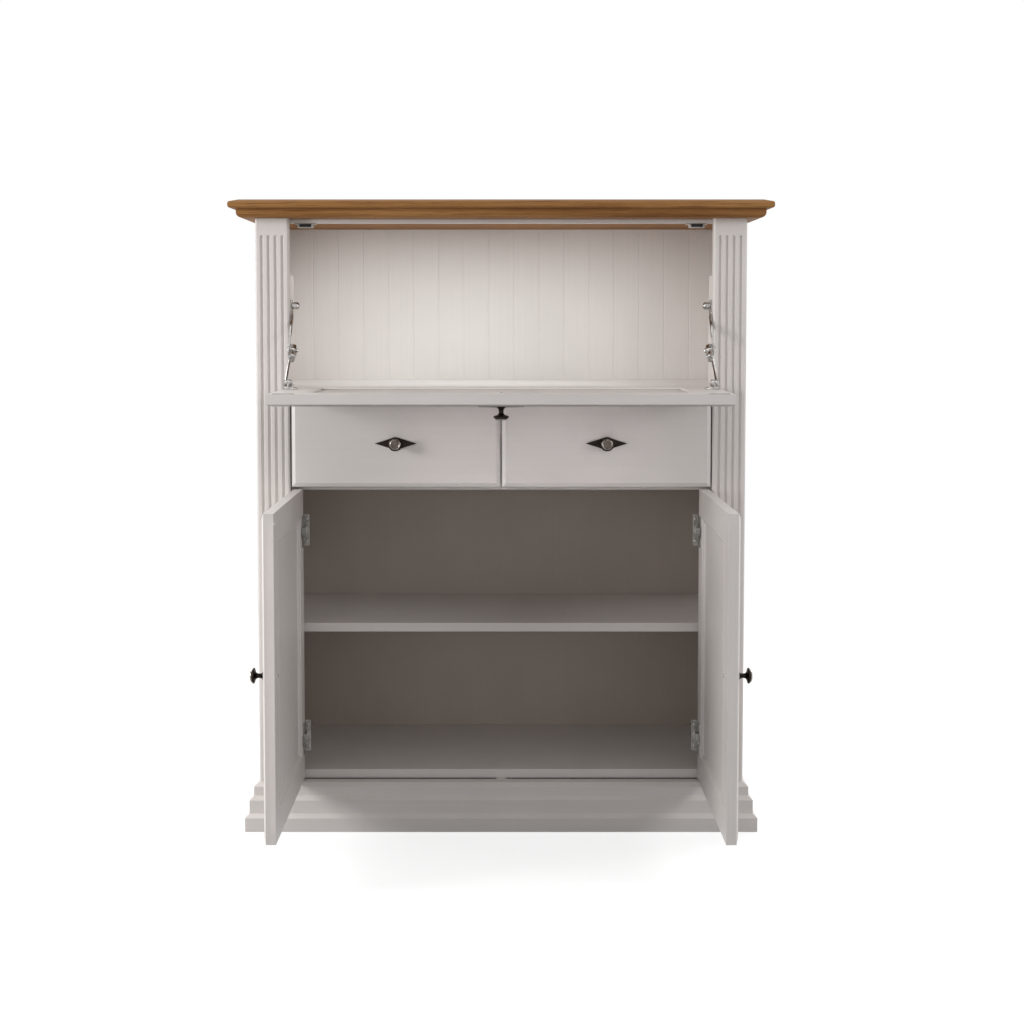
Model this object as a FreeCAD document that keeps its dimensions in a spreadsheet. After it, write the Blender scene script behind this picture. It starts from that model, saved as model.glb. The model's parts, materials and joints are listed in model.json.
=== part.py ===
import FreeCAD, Part
import os
import re
import Sketcher

doc = FreeCAD.newDocument("bar_cabinet")
sheet = doc.addObject("Spreadsheet::Sheet", "dims")

# Driving sizes in millimetres.
# X runs across the cabinet, Y towards its back and Z up.
# The origin lies on the floor, in the middle of the plinth.
sizes = {
    # carcass
    "body_width": 966,
    "carcass_depth": 400,
    "carcass_height": 1121,
    "side_thickness": 18,
    "panel_thickness": 18,
    "post_width": 65.5,
    "post_thickness": 22,
    "post_edge": 3,
    "flute_count": 4,
    "flute_pitch": 13.6,
    "flute_radius": 3.6,
    "flute_head": 33,
    "flute_foot": 31,
    "back_thickness": 8,
    "back_recess": 12,
    "board_count": 15,
    "board_pitch": 55.3,
    "board_groove": 2,
    "batten_depth": 48,
    # plinth, three faces with a sloping ledge over each
    "plinth_height": 94,
    "plinth_overhang": 26,
    "plinth_setback": 8,
    "plinth_lower_face": 28,
    "plinth_middle_face": 27,
    "plinth_ledge_rise": 7,
    "plinth_board": 20,
    "plinth_edge": 2,
    # oak top
    "moulding_thickness": 18,
    "moulding_overhang": 32,
    "moulding_round": 10,
    "top_thickness": 17,
    "top_overhang": 46,
    "top_slope_width": 19,
    "top_slope_drop": 5,
    "top_nose": 4.5,
    # middle shelf
    "shelf_rise": 277,
    "shelf_thickness": 18,
    "shelf_setback": 40,
    "shelf_gap": 1.5,
    "shelf_pin_radius": 2.5,
    "shelf_pin_socket": 9,
    "shelf_pin_reach": 14,
    "shelf_pin_front": 130,
    "shelf_pin_back": 60,
    # doors
    "door_height": 584,
    "door_thickness": 22,
    "door_floor_gap": 3,
    "door_side_gap": 3,
    "door_meeting_gap": 3,
    "stop_gap": 3.8,
    "door_frame_width": 54,
    "frame_bevel_width": 10,
    "frame_bevel_depth": 4,
    "panel_setback": 8,
    "panel_board": 9,
    "panel_tongue": 9,
    # lip behind the left door's free edge
    "lip_seat": 22,
    "lip_cover": 20,
    "lip_thickness": 3,
    "lip_clearance": 0.8,
    "lip_end_gap": 18,
    # concealed hinges
    "hinge_from_end": 84,
    "hinge_edge": 9,
    "hinge_depth": 11,
    "hinge_pin_radius": 1.5,
    "hinge_pin_length": 18.8,
    "hinge_arm_thickness": 2.5,
    "hinge_arm_reach": 15.5,
    "hinge_arm_back": 18.5,
    "hinge_plate_length": 46,
    "hinge_plate_height": 40,
    "cup_radius": 17.5,
    "cup_wall": 0.8,
    "cup_floor": 1,
    "cup_depth": 14,
    "cup_from_edge": 22,
    "cup_lug": 2.6,
    "cup_lug_width": 6,
    "cup_flange_height": 62,
    "cup_flange_width": 26,
    "cup_flange_thickness": 1.5,
    # drawers
    "drawer_gap": 5,
    "drawer_height": 173,
    "drawer_thickness": 20,
    "drawer_side_gap": 2.5,
    "drawer_meeting_gap": 3,
    "drawer_bevel_width": 8,
    "drawer_bevel_depth": 4,
    "drawer_back_gap": 30,
    "drawer_wall": 12,
    "drawer_wall_height": 130,
    "drawer_board": 5,
    "drawer_lift": 3,
    "deck_lap": 3,
    "runner_gap": 3,
    "runner_height": 10,
    "runner_play": 0.3,
    "runner_groove": 6,
    "packer_height": 50,
    # fold-out flap
    "flap_thickness": 22,
    "flap_gap": 4,
    "flap_top_gap": 3,
    "flap_side_gap": 2.5,
    "flap_swing_room": 3.2,
    "flap_heel_round": 5,
    "flap_pin_radius": 4,
    "flap_pin_length": 22,
    "bush_radius": 6,
    "bush_length": 13,
    "flap_frame_width": 65,
    "flap_knob_inset": 42,
    # catches under the top rail
    "rail_height": 8,
    "rail_depth": 20,
    "rail_gap": 2,
    "catch_inset": 30.5,
    "catch_width": 42,
    "catch_height": 9,
    "catch_depth": 15,
    "magnet_width": 23,
    "magnet_height": 6,
    "magnet_depth": 10,
    "magnet_proud": 0.5,
    "strike_length": 38,
    "strike_height": 12,
    "strike_thickness": 1,
    # folding stays
    "stay_block_share": 0.374,
    "stay_wall_rise": 60,
    "stay_wall_share": 0.3077,
    "stay_wall_depth": 32,
    "stay_flap_reach": 60,
    "stay_flap_share": 0.2264,
    "stay_pivot_rise": 12,
    "stay_slack": 1.7,
    "stay_upper_share": 0.5115,
    "stay_plate": 2,
    "stay_plate_width": 26,
    "stay_plate_height": 24,
    "stay_play": 1,
    "stay_bar_thickness": 3,
    "stay_bar_width": 8,
    "stay_eye_radius": 6.5,
    "stay_pin_radius": 2.5,
    "stay_head_radius": 5,
    "stay_head": 2.5,
    "stay_rod_radius": 2.5,
    "stay_eye_width": 6,
    "stay_boss_radius": 4,
    "stay_rivet": 1.5,
    "stay_brake_length": 36,
    "stay_brake_height": 18,
    "stay_brake_width": 9,
    "stay_foot_length": 34,
    "stay_foot_width": 24,
    # knobs, their diamond plates and their screws
    "knob_projection": 23,
    "knob_head_radius": 14,
    "knob_rim_height": 15,
    "knob_rim": 3,
    "knob_face_radius": 10,
    "knob_dish": 1,
    "knob_neck_radius": 4.2,
    "knob_neck_height": 8,
    "knob_base_radius": 7.5,
    "knob_base": 1.5,
    "door_knob_inset": 38,
    "plate_length": 83,
    "plate_width": 26,
    "plate_thickness": 3,
    "screw_radius": 2,
    "screw_grip": 10,
    "screw_head_radius": 4,
    "screw_head": 2,
    # shared clearances
    "fit_gap": 0.05,
    "overrun": 2,
}
for row, (alias, value) in enumerate(sizes.items(), start=1):
    sheet.set(f"A{row}", alias)
    sheet.set(f"B{row}", str(value))
    sheet.setAlias(f"B{row}", alias)
doc.recompute()

nodes = []


def bound(text):
    return re.sub(r"[a-z_]+", lambda word: f"dims.{word[0]}" if word[0] in sizes else word[0], str(text))


def bind(item, prop, text):
    item.setExpression(prop, bound(text))


def number(text):
    return float(sheet.evalExpression(bound(text)))


# Levels and planes that several pieces share, each worked out from the sizes.
front = "((plinth_overhang - carcass_depth) / 2)"
rear = f"({front} + carcass_depth)"
body_half = "(body_width / 2)"
inner_half = "(body_width / 2 - side_thickness)"
opening_half = "(body_width / 2 - post_width)"
post_back = f"({front} + post_thickness)"
back_face = f"({rear} - back_recess - back_thickness)"
carcass_top = "(plinth_height + carcass_height)"
floor_top = "(plinth_height + panel_thickness)"
door_bottom = "(plinth_height + door_floor_gap)"
door_top = f"({door_bottom} + door_height)"
stop_face = f"({front} + door_thickness + stop_gap)"
deck_bottom = f"({door_top} - deck_lap)"
deck_top = f"({deck_bottom} + panel_thickness)"
drawer_bottom = f"({door_top} + drawer_gap)"
drawer_top = f"({drawer_bottom} + drawer_height)"
flap_bottom = f"({drawer_top} + flap_gap)"
flap_top = f"({carcass_top} - flap_top_gap)"
flap_inside = f"({front} + flap_thickness)"
bar_level = f"({flap_bottom} + flap_thickness)"
bar_underside = f"({bar_level} - panel_thickness)"
flap_pivot_y = f"({front} + flap_thickness / 2)"
flap_pivot_z = f"({flap_bottom} + flap_thickness / 2)"
rail_face = f"({flap_inside} + rail_gap)"
rail_bottom = f"({carcass_top} - rail_height)"
bar_height = f"({rail_bottom} - {bar_level})"
flap_height = f"({flap_top} - {flap_bottom})"
wall_y = f"({front} + stay_wall_depth)"
wall_z = f"({bar_level} + stay_wall_rise + stay_wall_share * {bar_height})"


# General builders: blocks, rods, cuts and drawn outlines.
def part(kind, **props):
    item = doc.addObject(kind, "piece")
    for prop, value in props.items():
        setattr(item, prop, value)
    return item


def turn(axis, angle):
    return FreeCAD.Placement(FreeCAD.Vector(), FreeCAD.Rotation(FreeCAD.Vector(*axis), angle))


def put(item, x, y, z):
    for prop, text in zip("xyz", (x, y, z)):
        bind(item, f"Placement.Base.{prop}", text)
    return item


def block(x, y, z):
    item = part("Part::Box")
    for prop, (low, high) in zip(("Length", "Width", "Height"), (x, y, z)):
        bind(item, prop, f"{high} - ({low})")
    return put(item, x[0], y[0], z[0])


def rod(axis, x, y, z, radius, length):
    item = part("Part::Cylinder")
    bind(item, "Radius", radius)
    bind(item, "Height", length)
    turns = {"x": ((0, 1, 0), 90), "y": ((1, 0, 0), -90), "z": ((0, 0, 1), 0)}
    item.Placement = turn(*turns[axis])
    return put(item, x, y, z)


def together(items):
    return part("Part::Compound", Links=list(items))


def cut(base, *tools):
    return part("Part::Cut", Base=base, Tool=tools[0] if len(tools) == 1 else together(tools))


def fuse(*items):
    return part("Part::MultiFuse", Shapes=list(items))


def common(first, second):
    return part("Part::Common", Base=first, Tool=second)


def mirror(item):
    return part("Part::Mirroring", Source=item, Normal=(1, 0, 0))


def both(item):
    return [item, mirror(item)]


def bevelled(x, y, z, width, depth):
    slab = block(x, (f"{y[0]} + {depth}", y[1]), z)
    face = part("Part::Wedge")
    span_x = f"{x[1]} - ({x[0]})"
    span_z = f"{z[1]} - ({z[0]})"
    bounds = {
        "Xmin": width, "Xmax": f"{span_x} - {width}", "X2min": "0", "X2max": span_x,
        "Ymin": "0", "Ymax": depth,
        "Zmin": width, "Zmax": f"{span_z} - {width}", "Z2min": "0", "Z2max": span_z,
    }
    for prop, text in bounds.items():
        bind(face, prop, text)
    put(face, x[0], y[0], z[0])
    return fuse(slab, face)


def sketch_on(body, plane, outline):
    sketch = body.newObject("Sketcher::SketchObject", "outline")
    support = [item for item in body.Origin.OriginFeatures if item.Role == plane]
    sketch.AttachmentSupport = [(support[0], "")]
    sketch.MapMode = "FlatFace"
    corners = [FreeCAD.Vector(number(u), number(v), 0) for u, v in outline]
    count = len(corners)
    for index, corner in enumerate(corners):
        sketch.addGeometry(Part.LineSegment(corner, corners[(index + 1) % count]))
    for index in range(count):
        sketch.addConstraint(Sketcher.Constraint("Coincident", index, 2, (index + 1) % count, 1))
    for index, (corner, texts) in enumerate(zip(corners, outline)):
        for kind, value, text in zip(("DistanceX", "DistanceY"), corner, texts):
            place = sketch.addConstraint(Sketcher.Constraint(kind, -1, 1, index, 1, value))
            bind(sketch, f"Constraints[{place}]", text)
    return sketch


def pad(plane, outline, low, high):
    body = doc.addObject("PartDesign::Body", "body")
    sketch = sketch_on(body, plane, outline)
    bind(sketch, "AttachmentOffset.Base.z", f"-({high})" if plane == "XZ_Plane" else low)
    feature = body.newObject("PartDesign::Pad", "pad")
    feature.Profile = sketch
    bind(feature, "Length", f"{high} - ({low})")
    return body


def revolve(outline):
    body = doc.addObject("PartDesign::Body", "body")
    sketch = sketch_on(body, "XZ_Plane", outline)
    feature = body.newObject("PartDesign::Revolution", "turned")
    feature.Profile = sketch
    feature.ReferenceAxis = (sketch, ["V_Axis"])
    return body


def soften(body, places, radius):
    doc.recompute()
    base = body.Tip
    names = []
    near = number("fit_gap")
    spots = [list(zip(axes, (number(u), number(v)))) for axes, u, v in places]
    for index, edge in enumerate(base.Shape.Edges, start=1):
        ends = [vertex.Point for vertex in edge.Vertexes]
        for spot in spots:
            if all(abs(end[axis] - value) < near for end in ends for axis, value in spot):
                names.append(f"Edge{index}")
    feature = body.newObject("PartDesign::Fillet", "rounding")
    feature.Base = (base, names)
    bind(feature, "Radius", radius)
    return body


def node(name, item):
    item.Label = name
    nodes.append(item)
    return item


def group(name, items):
    return node(name, together(items))


def edged_board(overhang, low, high, edge, softened=(), radius="fit_gap"):
    nose = f"({front} - {overhang})"
    reach = f"({body_half} + {overhang})"
    levels = [(setback, f"{low} + {rise}") for setback, rise in edge]
    side_view = [(rear, low)] + [(f"{nose} + {setback}", z) for setback, z in levels] + [(rear, high)]
    front_view = [(f"{setback} - {reach}", z) for setback, z in levels]
    front_view += [(f"{reach} - ({setback})", z) for setback, z in reversed(levels)]
    along = pad("YZ_Plane", side_view, f"-{reach}", reach)
    across = pad("XZ_Plane", front_view, nose, rear)
    if softened:
        spots = [levels[index] for index in softened]
        soften(along, [((1, 2), f"{nose} + {setback}", z) for setback, z in spots], radius)
        ends = [((0, 2), f"{setback} - {reach}", z) for setback, z in spots]
        ends += [((0, 2), f"{reach} - ({setback})", z) for setback, z in spots]
        soften(across, ends, radius)
    return common(along, across)


# Oak top: an upper board with a sloping thumbnail edge over a rounded moulding board.
def make_top():
    low = f"({carcass_top} + moulding_thickness)"
    thick = "top_thickness"
    edge = [
        ("0", "0"),
        ("0", f"{thick} - top_slope_drop"),
        ("top_slope_width", thick),
    ]
    top = edged_board("top_overhang", low, f"{low} + {thick}", edge, (0, 1), "top_nose")
    node("top_board", top)
    edge = [("0", "0"), ("0", "moulding_thickness")]
    high = f"{carcass_top} + moulding_thickness"
    node("top_moulding", edged_board("moulding_overhang", carcass_top, high, edge, (0,), "moulding_round"))


# Plinth: mitred front and end boards with three stepped faces, and plain rails at the back and centre.
def make_plinth():
    step = "plinth_setback"
    ledge = "plinth_ledge_rise"
    second = f"(plinth_lower_face + {ledge})"
    third = f"({second} + plinth_middle_face)"
    edge = [
        ("0", "0"),
        ("0", "plinth_lower_face"),
        (step, second),
        (step, third),
        (f"2 * {step}", f"{third} + {ledge}"),
        (f"2 * {step}", f"plinth_height - {ledge}"),
        (f"3 * {step}", "plinth_height"),
    ]
    stepped = edged_board("plinth_overhang", "0", "plinth_height", edge, (1, 3, 5), "plinth_edge")
    nose = f"({front} - plinth_overhang)"
    reach = f"({body_half} + plinth_overhang)"
    inside = f"({body_half} - plinth_board)"
    board_back = f"({front} + plinth_board)"
    behind = f"({rear} + overrun)"
    hollow = block((f"-{inside}", inside), (board_back, behind), ("-overrun", "plinth_height + overrun"))
    ring = cut(stepped, hollow)
    mitre = [(f"-{reach}", nose), (reach, nose), (inside, board_back), (f"-{inside}", board_back)]
    node("plinth_front", common(ring, pad("XY_Plane", mitre, "0", "plinth_height")))
    end = [(f"-{reach}", nose), (f"-{inside}", board_back), (f"-{inside}", rear), (f"-{reach}", rear)]
    group("plinth_ends", both(common(ring, pad("XY_Plane", end, "0", "plinth_height"))))
    rail_front = f"({rear} - plinth_board)"
    back_rail = block((f"-{inside}", inside), (rail_front, rear), ("0", "plinth_height"))
    half = "plinth_board / 2"
    centre_rail = block((f"-{half}", half), (board_back, rail_front), ("0", "plinth_height"))
    group("plinth_rails", [back_rail, centre_rail])


# Posts: fluted front pilasters, each holding a bush for the flap's pivot pin.
def make_posts():
    outer = f"(-{body_half})"
    inner = f"(-{opening_half})"
    outline = [
        (outer, post_back),
        (outer, f"{front} + post_edge"),
        (f"{outer} + post_edge", front),
        (f"{inner} - post_edge", front),
        (inner, f"{front} + post_edge"),
        (inner, post_back),
    ]
    blank = pad("XY_Plane", outline, "plinth_height", carcass_top)
    foot = "(plinth_height + flute_foot + flute_radius)"
    head = f"({carcass_top} - flute_head - flute_radius)"
    socket = f"({inner} - bush_length)"
    tools = [rod("x", socket, flap_pivot_y, flap_pivot_z, "bush_radius", "bush_length + overrun")]
    for index in range(int(number("flute_count"))):
        x = f"(post_width / 2 - {body_half} + ({index} - (flute_count - 1) / 2) * flute_pitch)"
        tools.append(rod("z", x, front, foot, "flute_radius", f"{head} - {foot}"))
        for z in (foot, head):
            ball = part("Part::Sphere")
            bind(ball, "Radius", "flute_radius")
            tools.append(put(ball, x, front, z))
    left = node("left_post", cut(blank, fuse(*tools)))
    node("right_post", mirror(left))
    bush = cut(
        rod("x", socket, flap_pivot_y, flap_pivot_z, "bush_radius", "bush_length"),
        rod("x", f"{socket} - overrun", flap_pivot_y, flap_pivot_z, "flap_pin_radius + fit_gap",
            "bush_length + 2 * overrun"),
    )
    group("flap_pivot_bushes", both(bush))


# Shelf and its pins, which push into holes in the two sides.
shelf_bottom = f"({floor_top} + shelf_rise)"
shelf_pin_z = f"({shelf_bottom} - shelf_pin_radius - fit_gap)"
shelf_pin_places = (f"{front} + shelf_pin_front", f"{back_face} - shelf_pin_back")


def make_sides_and_shelf():
    blank = block((f"-{body_half}", f"-{inner_half}"), (post_back, rear), ("plinth_height", carcass_top))
    start = f"(-{inner_half} - shelf_pin_socket)"
    holes = [
        rod("x", start, y, shelf_pin_z, "shelf_pin_radius + fit_gap", "shelf_pin_socket + overrun")
        for y in shelf_pin_places
    ]
    left = node("left_side", cut(blank, *holes))
    node("right_side", mirror(left))
    pins = [
        rod("x", start, y, shelf_pin_z, "shelf_pin_radius", "shelf_pin_socket + shelf_pin_reach")
        for y in shelf_pin_places
    ]
    group("shelf_pins", pins + [mirror(pin) for pin in pins])
    wide = f"({inner_half} - shelf_gap)"
    narrow = f"({opening_half} - shelf_gap)"
    near = f"({front} + shelf_setback)"
    notch = f"({post_back} + batten_depth + shelf_gap)"
    far = f"({back_face} - shelf_gap)"
    outline = [
        (f"-{wide}", far), (f"-{wide}", notch), (f"-{narrow}", notch), (f"-{narrow}", near),
        (narrow, near), (narrow, notch), (wide, notch), (wide, far),
    ]
    node("middle_shelf", pad("XY_Plane", outline, shelf_bottom, f"{shelf_bottom} + shelf_thickness"))


# Fixed boards inside the carcass, the two back panels and the packing behind the posts.
def make_boards():
    width = (f"-{inner_half}", inner_half)
    depth = (stop_face, back_face)
    node("bottom_panel", block(width, depth, ("plinth_height", floor_top)))
    node("drawer_deck", block(width, depth, (deck_bottom, deck_top)))
    half = "panel_thickness / 2"
    node("drawer_divider", block((f"-{half}", half), depth, (deck_top, bar_underside)))
    behind_flap = (f"{flap_inside} + flap_swing_room", back_face)
    node("bar_floor", block(width, behind_flap, (bar_underside, bar_level)))
    node("top_rail", block(width, (rail_face, f"{rail_face} + rail_depth"), (rail_bottom, carcass_top)))
    back = (back_face, f"{back_face} + back_thickness")
    seam = f"({bar_level} - panel_thickness / 2)"
    node("lower_back_panel", block(width, back, ("plinth_height", seam)))
    boards = block(width, back, (seam, carcass_top))
    grooves = []
    for index in range(int(number("board_count")) + 1):
        groove = part("Part::Box", Placement=turn((0, 0, 1), 45))
        bind(groove, "Length", "board_groove")
        bind(groove, "Width", "board_groove")
        bind(groove, "Height", f"{carcass_top} - {seam} + 2 * overrun")
        x = f"({index} - board_count / 2) * board_pitch"
        grooves.append(put(groove, x, f"{back_face} - board_groove / sqrt(2)", f"{seam} - overrun"))
    node("bar_back_panel", cut(boards, *grooves))
    packing = (f"-{inner_half}", f"-{opening_half}")
    batten = (post_back, f"{post_back} + batten_depth")
    lower = block(packing, batten, (floor_top, deck_bottom))
    block_top = f"({wall_z} + stay_block_share * ({rail_bottom} - {wall_z}))"
    upper = block(packing, batten, (bar_level, block_top))
    group("post_battens", both(lower) + both(upper))


# Magnetic catches under the top rail, one near each post.
catch_x = f"({opening_half} - catch_inset)"


def make_catches():
    half = "catch_width / 2"
    span = (f"-{catch_x} - {half}", f"-{catch_x} + {half}")
    base = f"({rail_bottom} - catch_height)"
    body = block(span, (rail_face, f"{rail_face} + catch_depth"), (base, rail_bottom))
    half = "magnet_width / 2"
    middle = f"({rail_bottom} - catch_height / 2)"
    magnet = block(
        (f"-{catch_x} - {half}", f"-{catch_x} + {half}"),
        (f"{rail_face} - magnet_proud", f"{rail_face} - magnet_proud + magnet_depth"),
        (f"{middle} - magnet_height / 2", f"{middle} + magnet_height / 2"),
    )
    group("catch_bodies", both(cut(body, magnet)))
    group("catch_magnets", both(magnet))


# A knob on its diamond plate, standing out of a front towards -Y, with its screw from behind.
def make_knob(x, y, z, grip, upright):
    bore = "screw_radius"
    top = "knob_projection"
    outline = [
        (bore, "0"),
        ("knob_base_radius", "0"),
        ("knob_base_radius", "knob_base"),
        ("knob_neck_radius", "knob_neck_height"),
        ("knob_head_radius", "knob_rim_height"),
        ("knob_head_radius", "knob_rim_height + knob_rim"),
        ("knob_face_radius", top),
        ("knob_face_radius - knob_dish", f"{top} - knob_dish"),
        ("0", f"{top} - knob_dish"),
        ("0", "screw_grip"),
        (bore, "screw_grip"),
    ]
    knob = revolve(outline)
    knob.Placement = turn((1, 0, 0), 90)
    put(knob, x, f"{y} - plate_thickness", z)
    shank = "(screw_radius - fit_gap)"
    screw = fuse(
        rod("y", x, f"{y} - plate_thickness - screw_grip + fit_gap", z, shank,
            f"{grip} + plate_thickness + screw_grip - fit_gap"),
        rod("y", x, f"{y} + {grip}", z, "screw_head_radius", "screw_head"),
    )
    long, short = ("plate_width", "plate_length") if upright else ("plate_length", "plate_width")
    diamond = [
        (f"{x} - {long} / 2", z),
        (x, f"{z} - {short} / 2"),
        (f"{x} + {long} / 2", z),
        (x, f"{z} + {short} / 2"),
    ]
    plate_face = f"({y} - plate_thickness)"
    hole = rod("y", x, f"{plate_face} - overrun", z, "screw_radius", "plate_thickness + 2 * overrun")
    plate = cut(pad("XZ_Plane", diamond, plate_face, y), hole)
    bore_hole = rod("y", x, f"{y} - overrun", z, "screw_radius", f"{grip} + 2 * overrun")
    return knob, screw, plate, bore_hole


# A framed leaf, drawn closed: two stiles, two rails and a panel held in their grooves.
def framed_leaf(x, y, z, blank, width):
    tongue = f"({width} - panel_tongue)"
    panel = block(
        (f"{x[0]} + {tongue}", f"{x[1]} - {tongue}"),
        (f"{y[0]} + panel_setback", f"{y[0]} + panel_setback + panel_board"),
        (f"{z[0]} + {tongue}", f"{z[1]} - {tongue}"),
    )
    between = (f"{x[0]} + {width}", f"{x[1]} - {width}")

    def member(across, up):
        return cut(common(blank, block(across, y, up)), panel)

    stiles = [member((x[0], between[0]), z), member((between[1], x[1]), z)]
    rails = [
        member(between, (z[0], f"{z[0]} + {width}")),
        member(between, (f"{z[1]} - {width}", z[1])),
    ]
    return stiles, rails, panel


# Left door, drawn closed and then swung open about its hinge pins. The right door mirrors it.
door_x = (f"(door_side_gap - {opening_half})", "(-door_meeting_gap / 2)")
door_y = (front, f"({front} + door_thickness)")
door_z = (door_bottom, door_top)
hinge_x = f"({door_x[0]} + hinge_edge)"
hinge_y = f"({front} + hinge_depth)"
hinge_levels = (f"({door_bottom} + hinge_from_end)", f"({door_top} - hinge_from_end)")
arm_half = "(hinge_pin_length / 2 - cup_lug)"


def swung(items):
    door = together(items)
    door.Placement = turn((0, 0, 1), -90)
    return put(door, f"{hinge_x} - {hinge_y}", f"{hinge_y} + {hinge_x}", "0")


def swung_door(name, items, left_only=()):
    node(f"left_door_{name}", swung([*items, *left_only]))
    node(f"right_door_{name}", mirror(swung(items)))


# The lip on the left door's inner face, which covers the gap between the closed doors.
def make_lip():
    edge, inside = door_x[1], door_y[1]
    back = f"({inside} + lip_thickness)"
    z = (f"({door_bottom} + lip_end_gap)", f"({door_top} - lip_end_gap)")
    seat = block((f"{edge} - lip_seat", edge), (inside, back), z)
    cover = block((edge, f"{edge} + lip_cover"), (f"{inside} + lip_clearance", back), z)
    return fuse(seat, cover)


def make_cup(z):
    x = f"({door_x[0]} + cup_from_edge)"
    inside = door_y[1]
    base = f"({inside} - cup_depth)"
    outer = "(cup_radius - fit_gap)"
    inner = "(cup_radius - cup_wall)"
    tub = rod("y", x, base, z, outer, "cup_depth")
    half = "cup_flange_width / 2"
    flange = block(
        (f"{x} - {half}", f"{x} + {half}"),
        (inside, f"{inside} + cup_flange_thickness"),
        (f"{z} - cup_flange_height / 2", f"{z} + cup_flange_height / 2"),
    )
    hollow = rod("y", x, f"{base} + cup_floor", z, inner, "cup_depth + overrun")
    ear = block(
        (f"{hinge_x} - cup_lug_width / 2", f"{hinge_x} + cup_lug_width / 2"),
        (f"{base} + cup_floor / 2", f"{hinge_y} + cup_lug_width / 2"),
        (f"{z} - cup_radius", f"{z} + cup_radius"),
    )
    slot = block(
        (f"{hinge_x} - cup_lug_width", f"{hinge_x} + cup_lug_width"),
        (f"{base} + cup_floor", f"{hinge_y} + cup_lug_width"),
        (f"{z} - {arm_half}", f"{z} + {arm_half}"),
    )
    ears = common(cut(ear, slot), tub)
    pin_hole = rod("z", hinge_x, hinge_y, f"{z} - hinge_pin_length / 2", "hinge_pin_radius + fit_gap",
                   "hinge_pin_length + fit_gap")
    cup = cut(fuse(cut(fuse(tub, flange), hollow), ears), pin_hole)
    bore = rod("y", x, base, z, "cup_radius", "cup_depth + overrun")
    return cup, bore


def make_doors():
    blank = bevelled(door_x, door_y, door_z, "frame_bevel_width", "frame_bevel_depth")
    stiles, rails, panel = framed_leaf(door_x, door_y, door_z, blank, "door_frame_width")
    cups, bores = zip(*(make_cup(z) for z in hinge_levels))
    middle = f"(({door_bottom} + {door_top}) / 2)"
    knob_x = f"({door_x[1]} - door_knob_inset)"
    knob, screw, plate, hole = make_knob(knob_x, front, middle, "door_thickness", True)
    swung_door("stiles", [cut(stiles[0], *bores), cut(stiles[1], hole)], [make_lip()])
    swung_door("rails", rails)
    swung_door("panel", [panel])
    swung_door("knob", [knob, screw])
    swung_door("knob_plate", [plate])
    swung_door("hinge_cups", cups)


# Hinge arms: a cranked strap from a plate on the batten, round the door's edge, to its pin.
def make_hinge_arms():
    thick = "hinge_arm_thickness"
    wall = f"(-{opening_half})"
    near = f"({hinge_y} - {thick} / 2)"
    bend = f"({hinge_x} + hinge_arm_reach)"
    rear_edge = f"({hinge_y} + hinge_arm_back)"
    crank = [
        (hinge_x, near),
        (bend, near),
        (bend, rear_edge),
        (wall, rear_edge),
        (wall, f"{rear_edge} - {thick}"),
        (f"{bend} - {thick}", f"{rear_edge} - {thick}"),
        (f"{bend} - {thick}", f"{near} + {thick}"),
        (hinge_x, f"{near} + {thick}"),
    ]
    arms = []
    for z in hinge_levels:
        half = f"({arm_half} - fit_gap)"
        strap = pad("XY_Plane", crank, f"{z} - {half}", f"{z} + {half}")
        pin = rod("z", hinge_x, hinge_y, f"{z} - hinge_pin_length / 2 + fit_gap", "hinge_pin_radius",
                  "hinge_pin_length - 2 * fit_gap")
        plate = block(
            (wall, f"{wall} + {thick}"),
            (f"{rear_edge} - {thick}", f"{rear_edge} + hinge_plate_length"),
            (f"{z} - hinge_plate_height / 2", f"{z} + hinge_plate_height / 2"),
        )
        arms.append(fuse(strap, pin, plate))
    group("hinge_arms", arms + [mirror(arm) for arm in arms])


# Left drawer and the strips that it runs on. The right drawer mirrors it.
drawer_x = (f"(drawer_side_gap - {opening_half})", "(-drawer_meeting_gap / 2)")
drawer_back = f"({front} + drawer_thickness)"
drawer_end = f"({back_face} - drawer_back_gap)"
box_bottom = f"({deck_top} + drawer_lift)"
wall_bottom = f"({box_bottom} + drawer_board)"
wall_top = f"({wall_bottom} + drawer_wall_height)"
runner_z = f"(({wall_bottom} + {wall_top}) / 2)"
box_x = (f"(runner_gap - {opening_half})", "(-panel_thickness / 2 - runner_gap)")


def left_and_right(name, items):
    left = node(f"left_{name}", together(items) if len(items) > 1 else items[0])
    node(f"right_{name}", mirror(left))


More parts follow.
